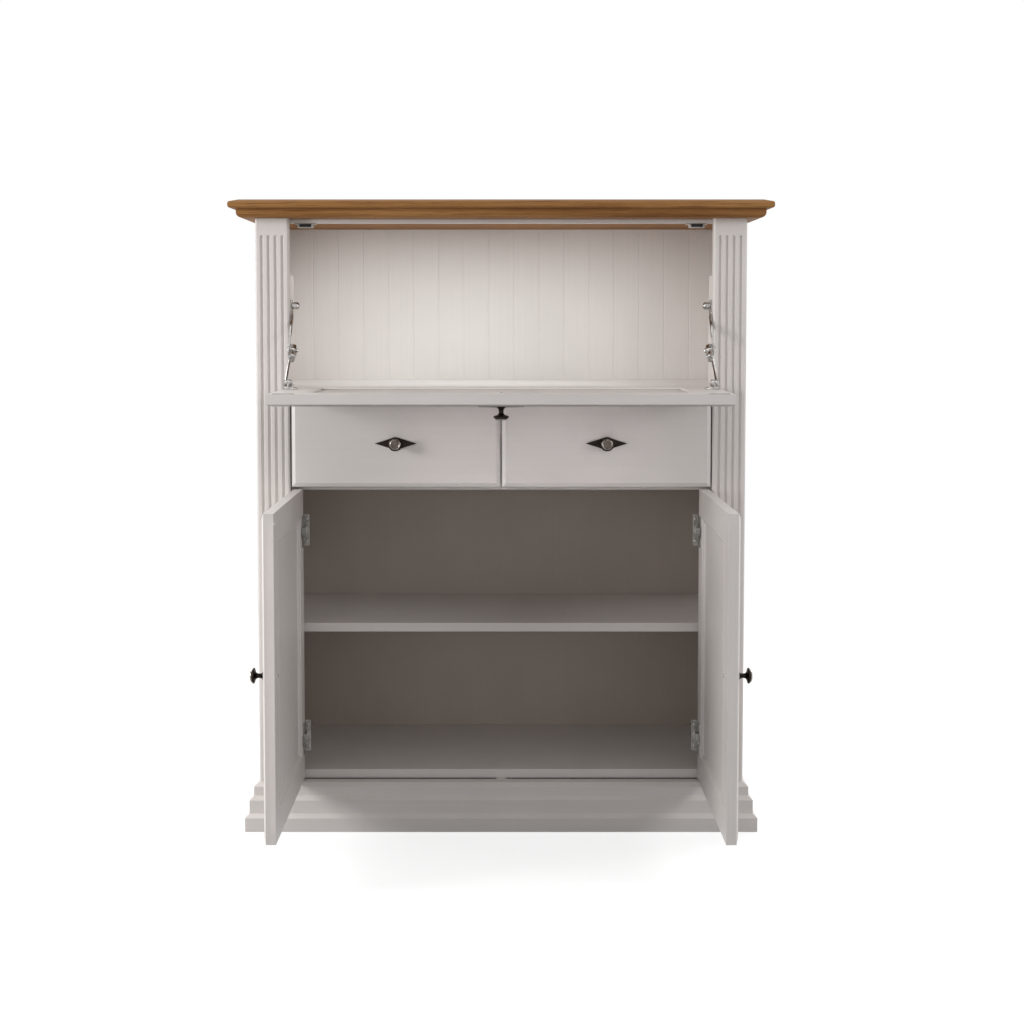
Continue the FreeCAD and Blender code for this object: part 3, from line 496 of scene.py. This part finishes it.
def diamondShape():
    shape = bmesh.new()
    bmesh.ops.create_circle(shape, cap_ends=True, segments=4, radius=1)
    bmesh.ops.scale(shape, vec=(plate["long"] / 2, plate["short"] / 2, 1), verts=shape.verts)
    top = pulledUp(shape, shape.faces[:], plate["edge"])
    bmesh.ops.recalc_face_normals(shape, faces=shape.faces)
    bmesh.ops.poke(shape, faces=top, offset=plate["peak"] - plate["edge"])
    easeEdges(shape, plate["ease"], 2)
    return shape


for name, place in knobPlaces.items():
    along, up = Vector(place["along"]), place["up"]
    low, high = (Vector(corner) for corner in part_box(f"{name}_knob_plate"))
    surface = (low + high) / 2 - along * abs((high - low).dot(along)) / 2
    seat = surface + along * plate["peak"] * mm
    addPiece(f"{name}TurnedKnob", [placed(knobShape(), facing(seat, along, up))],
             ["pewter", "wornHighlitPewter", "brushedPewter"], name, [f"{name}_knob"])
    addPiece(f"{name}Diamond", [placed(diamondShape(), facing(surface, along, up))],
             ["pewter"], name, [f"{name}_knob_plate"], plate["crease"])
    depth = max((surface - Vector(corner)).dot(along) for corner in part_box(f"{name}_knob"))
    inside = surface - along * (depth - knob["screwHeight"] * mm)
    addPiece(f"{name}KnobScrew", [fitted(knob["screw"], turning["pin"], inside, -along, up)],
             ["nickel"], name)
print("knobs turned:", len(knobPlaces))


# Mouldings that run round each panel, on both of its faces. A lift holds one clear of its panel.
bead = {
    "inside": {"recess": 5.0, "proud": 0.7, "lift": 0.0,
               "steps": [(1.3, 0.0), (1.5, 1.5), (1.2, 0.3), (2.0, 1.3), (2.2, 1.2), (1.2, 1.4)]},
    "outside": {"recess": 8.0, "proud": -0.6, "lift": 0.0,
                "steps": [(1.6, 0.0), (2.2, 2.2), (1.4, 0.4), (2.8, 1.8), (3.0, 1.8), (1.4, 1.2)]},
    "flapInside": {"recess": 5.0, "proud": -0.2, "lift": 1.4, "steps": [(1.0, 0.0), (0.6, 0.5), (0.5, 2.4)]},
    "tongue": 9.0,
    "crease": 25,
}


def beadShape(width, height, rise, steps):
    shape = bmesh.new()
    bmesh.ops.create_grid(shape, x_segments=1, y_segments=1, size=0.5)
    bmesh.ops.scale(shape, vec=(width, height, 1), verts=shape.verts)
    under = shape.faces[:][0]
    top = pulledUp(shape, [under], rise)[0]
    bmesh.ops.recalc_face_normals(shape, faces=shape.faces)
    for thickness, drop in steps:
        bmesh.ops.inset_region(shape, faces=[top], thickness=thickness, depth=-drop, use_even_offset=True)
    loops = list(top.edges) + list(under.edges)
    bmesh.ops.delete(shape, geom=[top, under], context="FACES_ONLY")
    bmesh.ops.bridge_loops(shape, edges=loops)
    bmesh.ops.recalc_face_normals(shape, faces=shape.faces)
    return shape


def addBeads(leaf, along, up, look, inner="inside"):
    low, high = (Vector(corner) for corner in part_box(f"{leaf}_panel"))
    middle, size, along = (low + high) / 2, high - low, Vector(along)
    side = Vector(up).cross(along)
    width = abs(size.dot(side)) / mm - 2 * bead["tongue"]
    height = abs(size.dot(along.cross(side))) / mm - 2 * bead["tongue"]
    for name, sign, plan in (("Inside", 1, bead[inner]), ("Outside", -1, bead["outside"])):
        face = middle + along * sign * (abs(size.dot(along)) / 2 + plan["lift"] * mm)
        shape = beadShape(width, height, plan["recess"] + plan["proud"] - plan["lift"], plan["steps"])
        addPiece(f"{leaf}Bead{name}", [placed(shape, facing(face, along * sign, up))], [look], leaf,
                 crease=bead["crease"])


addBeads("left_door", (1, 0, 0), (0, 0, 1), "paintZ")
addBeads("right_door", (-1, 0, 0), (0, 0, 1), "paintZ")
addBeads("flap", (0, 0, 1), (0, 1, 0), "paintX", "flapInside")
print("panel mouldings run")


# Hinge covers level with the cups in the doors, set back behind the posts, with their screws.
hinge = {
    "wide": 34.0,
    "thick": 2.5,
    "tall": 62.0,
    "setBack": 5.0,
    "ease": 0.7,
    "recess": {"towards": (0, -1, 0), "lip": 2.0, "sink": 0.6},
    "screwInset": 5.1,
    "screwRise": 22.0,
    "screw": [(0, 0), (2.7, 0), (2.7, 0.3), (2.0, 1.0), (1.1, 1.2), (1.0, 0.6), (0, 0.5)],
}
left = cornersOf("hinge_arms")[0].x
front = cornersOf("left_post")[1].y + hinge["setBack"]
cupLow, cupHigh = cornersOf("left_door_hinge_cups")
size = (hinge["wide"], hinge["thick"], hinge["tall"])
covers = []
for level in (cupLow.z + hinge["tall"] / 2, cupHigh.z - hinge["tall"] / 2):
    centre = (left + hinge["wide"] / 2, front + hinge["thick"] / 2, level)
    screwX, screwY = left + hinge["wide"] - hinge["screwInset"], front + hinge["recess"]["sink"]
    for mirrored in (False, True):
        cover = roundedBlock(size, centre, hinge["ease"], 2, hinge["recess"])
        covers.append(placed(cover, Matrix.Scale(mm, 4), mirrored))
        for rise in (-hinge["screwRise"], hinge["screwRise"]):
            at = Vector((screwX, screwY, level + rise)) * mm
            covers.append(fitted(hinge["screw"], turning["screw"], at, (0, -1, 0), (0, 0, 1), mirrored))
addPiece("hingeCovers", covers, ["nickel"], "carcass")
print("hinges covered")


# Magnetic catches: a flanged housing round each magnet, in place of the plain one.
catch = {
    "flange": {"size": (42.0, 15.0, 2.8), "ease": 0.5},
    "body": {"size": (31.0, 15.0, 9.0), "ease": 0.9},
}
low, high = cornersOf("catch_bodies")
across = low.x + catch["flange"]["size"][0] / 2
housings = []
for mirrored in (False, True):
    for plan in catch.values():
        deep, tall = plan["size"][1:]
        centre = (across, low.y + deep / 2, high.z - tall / 2)
        block = roundedBlock(plan["size"], centre, plan["ease"])
        housings.append(placed(block, Matrix.Scale(mm, 4), mirrored))
addPiece("catchHousings", housings, ["whiteMoulding"], "carcass", ["catch_bodies"])
print("catches housed")


# Shoulders at the foot of each groove between the back boards, which keep it a shallow V.
boardSeam = {"count": 15, "pitch": 55.3, "half": 1.0, "lip": 0.43, "dip": 0.8, "foot": 1.36}


def seamShape(across, face, low, high):
    half, lip = boardSeam["half"], boardSeam["lip"]
    section = [(0, boardSeam["dip"]), (0, boardSeam["foot"]), (-half, lip), (half, lip)]
    shape = bmesh.new()
    dip, foot, left, right = (shape.verts.new((across + x, face + depth, low)) for x, depth in section)
    ends = [shape.faces.new((dip, foot, left)), shape.faces.new((dip, right, foot))]
    pulledUp(shape, ends, high - low)
    bmesh.ops.recalc_face_normals(shape, faces=shape.faces)
    return shape


low, high = cornersOf("bar_back_panel")
seams = []
for index in range(boardSeam["count"] + 1):
    across = (index - boardSeam["count"] / 2) * boardSeam["pitch"]
    seams.append(placed(seamShape(across, low.y, low.z, high.z), Matrix.Scale(mm, 4)))
addPiece("boardSeams", seams, ["paintZ"], "carcass")
print("board seams shouldered:", len(seams))


# Rows of screws that hold the two backs to the top, the decks and the bottom.
backScrew = {
    "profile": [(0, 0), (4.2, 0), (4.1, 0.5), (3.0, 1.3), (1.5, 1.7), (1.3, 0.8), (0, 0.7)],
    "pitch": 154.0,
    "reach": 385.0,
    "fromTop": 10.0,
    "fromSeam": 5.5,
}
barLow, barHigh = cornersOf("bar_back_panel")
lowerHigh = cornersOf("lower_back_panel")[1]
deck, bottom = (sum(corner.z for corner in cornersOf(board)) / 2 for board in ("drawer_deck", "bottom_panel"))
rows = [
    (barHigh.y, barHigh.z - backScrew["fromTop"], 0),
    (barHigh.y, barLow.z + backScrew["fromSeam"], 0),
    (lowerHigh.y, lowerHigh.z - backScrew["fromSeam"], backScrew["pitch"] / 2),
    (lowerHigh.y, deck, 0),
    (lowerHigh.y, bottom, 0),
]
heads = []
for rear, level, start in rows:
    across = start - backScrew["reach"]
    while across <= backScrew["reach"]:
        at = Vector((across, rear, level)) * mm
        heads.append(fitted(backScrew["profile"], turning["screw"], at, (0, 1, 0), (0, 0, 1)))
        across += backScrew["pitch"]
addPiece("backScrews", heads, ["nickel"], "carcass")
print("back screwed on:", len(heads), "screws")


# Folding stays: cap on the wall stud, channelled bar, two-lobed brake and a capped foot.
# Each piece stands off a face of the bracket, arm or foot that it sits on.
stay = {
    "cap": {"off": 0.5,
            "profile": [(0, 0), (7.2, 0), (7.8, 0.7), (7.8, 2.6), (6.9, 3.4), (6.9, 4.4), (7.5, 5.2),
                        (7.0, 7.6), (5.2, 9.6), (2.6, 10.6), (0, 10.8)]},
    "wallScrews": {"off": 2.0, "spots": ((8.6, 8.0), (8.6, -8.0)),
                   "profile": [(0, 0), (2.8, 0), (2.6, 0.4), (1.4, 0.75), (1.1, 0.3), (0, 0.2)]},
    "channel": {"reach": (24.0, 80.0), "wide": 5.0, "tall": 8.8, "ease": 1.2,
                "recess": {"towards": (1, 0, 0), "lip": 1.7, "sink": 1.4}},
    "lobeOff": 0.65,
    "lobes": [{"at": 103.5, "size": (14.0, 20.0, 20.5), "ease": 5.0},
              {"at": 84.5, "size": (12.0, 16.0, 19.0), "ease": 4.5}],
    "pins": [{"at": 103.5, "off": 13.6,
              "profile": [(0, 0), (4.0, 0), (4.0, 2.2), (3.2, 3.2), (1.6, 3.7), (1.4, 2.6), (0, 2.5)]},
             {"at": 84.5, "off": 11.6,
              "profile": [(0, 0), (3.0, 0), (3.0, 1.6), (2.2, 2.5), (0, 2.9)]}],
    "footCap": [(0, 0), (6.9, 0), (6.9, 1.8), (6.2, 3.0), (6.2, 4.0), (5.2, 5.6), (2.6, 6.6), (0, 6.8)],
    "footScrews": {"inset": 18.9, "off": 2.0, "apart": 10.6,
                   "profile": [(0, 0), (3.7, 0), (3.6, 0.6), (2.4, 1.5), (1.3, 1.7), (1.2, 0.8), (0, 0.7)]},
}
pivots = {joint["name"]: Vector(joint["pos_m"]) / mm for joint in frame["joints"] if "pos_m" in joint}
stud, foot = pivots["left_stay_upper_pivot"], pivots["left_stay_lower_pivot"]
bracket, stayFoot = cornersOf("stay_wall_brackets")[0], cornersOf("flap_stay_feet")[0]
upperLow, upperHigh = cornersOf("left_stay_upper_arm")
lowerLow, lowerHigh = cornersOf("left_stay_lower_arm")
elbow = upperLow + upperHigh - stud  # the upper arm's two pivots sit evenly in its box


# Turns a shape drawn along Y from the origin so that it runs from one pivot towards another.
def alongArm(start, end):
    lean = math.atan2(end.z - start.z, end.y - start.y)
    pivot = Matrix.Translation((0, start.y * mm, start.z * mm))
    return pivot @ Matrix.Rotation(lean, 4, "X") @ Matrix.Scale(mm, 4)


def channelShape():
    plan = stay["channel"]
    near, far = plan["reach"]
    size = (plan["wide"], far - near, plan["tall"])
    centre = (upperLow.x + plan["wide"] / 2, (near + far) / 2, 0)
    return roundedBlock(size, centre, plan["ease"], 3, plan["recess"])


def brakeShapes():
    face = lowerLow.x + stay["lobeOff"]
    shapes = []
    for plan in stay["lobes"]:
        centre = (face + plan["size"][0] / 2, plan["at"], 0)
        shapes.append(roundedBlock(plan["size"], centre, plan["ease"], 4))
    for plan in stay["pins"]:
        shape = spun(plan["profile"], turning["pin"])
        quarter = Matrix.Rotation(math.pi / 2, 3, "Y")
        bmesh.ops.rotate(shape, cent=(0, 0, 0), matrix=quarter, verts=shape.verts)
        bmesh.ops.translate(shape, vec=(face + plan["off"], plan["at"], 0), verts=shape.verts)
        shapes.append(shape)
    return shapes


def wallShapes(mirrored):
    inward, up = (1, 0, 0), (0, 0, 1)
    plan = stay["cap"]
    at = Vector((upperHigh.x + plan["off"], stud.y, stud.z)) * mm
    shapes = [fitted(plan["profile"], turning["cap"], at, inward, up, mirrored)]
    plan = stay["wallScrews"]
    for back, rise in plan["spots"]:
        at = Vector((bracket.x + plan["off"], stud.y + back, stud.z + rise)) * mm
        shapes.append(fitted(plan["profile"], turning["screw"], at, inward, up, mirrored))
    return shapes


def footShapes(mirrored):
    at = Vector((lowerHigh.x, foot.y, foot.z)) * mm
    shapes = [fitted(stay["footCap"], turning["cap"], at, (1, 0, 0), (0, 0, 1), mirrored)]
    plan = stay["footScrews"]
    for back in (-plan["apart"], plan["apart"]):
        at = Vector((stayFoot.x + plan["inset"], foot.y + back, stayFoot.z + plan["off"])) * mm
        shapes.append(fitted(plan["profile"], turning["footScrew"], at, (0, 0, 1), (0, 1, 0), mirrored))
    return shapes


upperArm, lowerArm = alongArm(stud, elbow), alongArm(foot, elbow)
for side, mirrored in (("left", False), ("right", True)):
    addPiece(f"{side}StayCap", wallShapes(mirrored), ["chrome"], "carcass")
    channel = placed(channelShape(), upperArm, mirrored)
    addPiece(f"{side}StayChannel", [channel], ["chrome"], f"{side}_stay_upper")
    brake = [placed(shape, lowerArm, mirrored) for shape in brakeShapes()]
    addPiece(f"{side}StayBrake", brake, ["chrome"], f"{side}_stay_lower")
    addPiece(f"{side}StayFootCap", footShapes(mirrored), ["chrome"], "flap")
print("stays fitted out")


# Pale studio: a white floor and backdrop, even light all round, a key from the left, a strip over the bar
# and a narrow fill for the drawers.
studio = {
    "floorSize": 30.0,
    "floorRoughness": 0.9,
    "floorSeen": grey(0.95),
    "floorBounce": grey(0.3),
    "floorGlow": (0.62, 1.0),  # close to the object and far from it
    "glowStrength": (1.22, 1.0),
    "glowReach": (0.7, 2.4),
    "plinthHalf": {"X": 0.48, "Y": 0.2},
    "ambient": 0.48,
    "backdrop": 1.0,
    "keptFromGloss": ("barStrip", "drawerFill"),
    "lamps": {
        "keyLeft": {"at": (-2.3, -1.15, 1.25), "aim": (0, -0.2, 0.8), "size": (0.6, 0.9), "spread": 180,
                    "power": 37.0, "tint": (1, 1, 1)},
        "sideRight": {"at": (2.3, -1.35, 1.6), "aim": (0, -0.1, 0.7), "size": (0.8, 0.8), "spread": 180,
                      "power": 18.0, "tint": (1, 1, 1)},
        "frontLow": {"at": (-0.6, -3.4, 1.0), "aim": (0, -0.1, 0.7), "size": (1.2, 0.6), "spread": 180,
                     "power": 2.0, "tint": (1, 1, 1)},
        "barStrip": {"at": (-0.07, -0.14, 1.195), "aim": (-0.07, 0.19, 0.82), "size": (0.72, 0.03),
                     "spread": 120, "power": 0.95, "tint": (0.93, 0.99, 1)},
        "drawerFill": {"at": (0.05, -1.6, 0.3), "aim": (0.05, -0.19, 0.81), "size": (0.45, 0.04),
                       "spread": 16, "power": 0.07, "tint": (1, 1, 1)},
        "overhead": {"at": (-0.4, -1.6, 3.6), "aim": (0, -0.1, 0.8), "size": (1.5, 1.5), "spread": 180,
                     "power": 8.0, "tint": (1, 1, 1)},
        "rearLeft": {"at": (-2.6, 2.8, 2.2), "aim": (0, 0.2, 0.8), "size": (1.6, 1.6), "spread": 70,
                     "power": 18.0, "tint": (1, 1, 1)},
        "rearRight": {"at": (2.8, 2.4, 1.6), "aim": (0, 0.2, 0.8), "size": (1.6, 1.6), "spread": 70,
                      "power": 12.0, "tint": (1, 1, 1)},
    },
}


def seenRays(tree):
    path = addNode(tree, "ShaderNodeLightPath")
    first = addNode(tree, "ShaderNodeMath", operation="MAXIMUM")
    second = addNode(tree, "ShaderNodeMath", operation="MAXIMUM")
    wire(tree, path, first, "Is Camera Ray")
    wire(tree, path, first, "Is Glossy Ray", 1)
    wire(tree, first, second)
    wire(tree, path, second, "Is Transmission Ray", 1)
    return second


def lightWorld():
    world = bpy.data.worlds.new("studioWorld")
    bpy.context.scene.world = world
    world.use_nodes = True
    tree = world.node_tree
    background = tree.nodes["Background"]
    background.inputs["Color"].default_value = grey(1.0)
    strength = spread(tree, seenRays(tree), studio["ambient"], studio["backdrop"])
    wire(tree, strength, background, inlet="Strength")


def paired(tree, operation, first, second):
    node = addNode(tree, "ShaderNodeMath", operation=operation)
    wire(tree, first, node)
    wire(tree, second, node, inlet=1)
    return node


def fading(tree, place, levels):
    radius = addNode(tree, "ShaderNodeVectorMath", operation="LENGTH")
    wire(tree, place, radius, "Object")
    near, far = studio["glowReach"]
    low, high = levels
    limits = {"From Min": near, "From Max": far, "To Min": low, "To Max": high}
    level = addNode(tree, "ShaderNodeMapRange", limits)
    wire(tree, radius, level, "Value", "Value")
    return level


def pastPlinth(tree, place):
    axes = addNode(tree, "ShaderNodeSeparateXYZ")
    wire(tree, place, axes, "Object")
    beyond = []
    for axis, half in studio["plinthHalf"].items():
        size = addNode(tree, "ShaderNodeMath", operation="ABSOLUTE")
        wire(tree, axes, size, axis)
        past = addNode(tree, "ShaderNodeMath", {1: half}, operation="GREATER_THAN")
        wire(tree, size, past)
        beyond.append(past)
    return paired(tree, "MAXIMUM", *beyond)


# The floor glows where it is looked at, apart from the strip under the plinth, and still takes shadows.
def makeFloorFinish():
    material, tree, shader = startMaterial("studioFloor")
    seen = seenRays(tree)
    tone = blendColour(tree, seen, studio["floorBounce"], studio["floorSeen"])
    wire(tree, tone, shader, inlet="Base Color")
    shader.inputs["Roughness"].default_value = studio["floorRoughness"]
    place = addNode(tree, "ShaderNodeTexCoord")
    glow = addNode(tree, "ShaderNodeEmission", {"Color": grey(1.0)})
    wire(tree, fading(tree, place, studio["glowStrength"]), glow, inlet="Strength")
    clear = paired(tree, "MULTIPLY", seen, pastPlinth(tree, place))
    share = paired(tree, "MULTIPLY", clear, fading(tree, place, studio["floorGlow"]))
    mix = addNode(tree, "ShaderNodeMixShader")
    for inlet, part in enumerate((share, shader, glow)):
        wire(tree, part, mix, inlet=inlet)
    wire(tree, mix, tree.nodes["Material Output"], inlet="Surface")
    return material


def layFloor():
    sheet = bmesh.new()
    bmesh.ops.create_grid(sheet, x_segments=1, y_segments=1, size=studio["floorSize"])
    mesh = bpy.data.meshes.new("studioFloor")
    sheet.to_mesh(mesh)
    sheet.free()
    mesh.materials.append(makeFloorFinish())
    floor = bpy.data.objects.new("studioFloor", mesh)
    bpy.context.scene.collection.objects.link(floor)


def hangLamps():
    for name, lamp in studio["lamps"].items():
        light = bpy.data.lights.new(name, "AREA")
        light.shape = "RECTANGLE"
        light.size, light.size_y = lamp["size"]
        light.energy = lamp["power"]
        light.color = lamp["tint"]
        light.spread = math.radians(lamp["spread"])
        holder = bpy.data.objects.new(name, light)
        holder.location = lamp["at"]
        ahead = Vector(lamp["aim"]) - Vector(lamp["at"])
        holder.rotation_euler = ahead.to_track_quat("-Z", "Y").to_euler()
        holder.visible_camera = False
        holder.visible_glossy = name not in studio["keptFromGloss"]
        bpy.context.scene.collection.objects.link(holder)


lightWorld()
layFloor()
hangLamps()
print("studio lit")


camera = {
    "at": (0.0, -3.3081, 1.0169),
    "tiltDown": 3.2524,
    "lens": 55.68,
    "sensor": 36.0,
    "shift": (0.0106, -0.1),
}


def makeCamera():
    data = bpy.data.cameras.new("camera")
    data.lens = camera["lens"]
    data.sensor_width = camera["sensor"]
    data.shift_x, data.shift_y = camera["shift"]
    holder = bpy.data.objects.new("camera", data)
    holder.location = camera["at"]
    holder.rotation_euler = (math.radians(90 - camera["tiltDown"]), 0, 0)
    bpy.context.scene.collection.objects.link(holder)
    bpy.context.scene.camera = holder


makeCamera()
bpy.context.scene.view_settings.view_transform = "Standard"
print("camera placed")
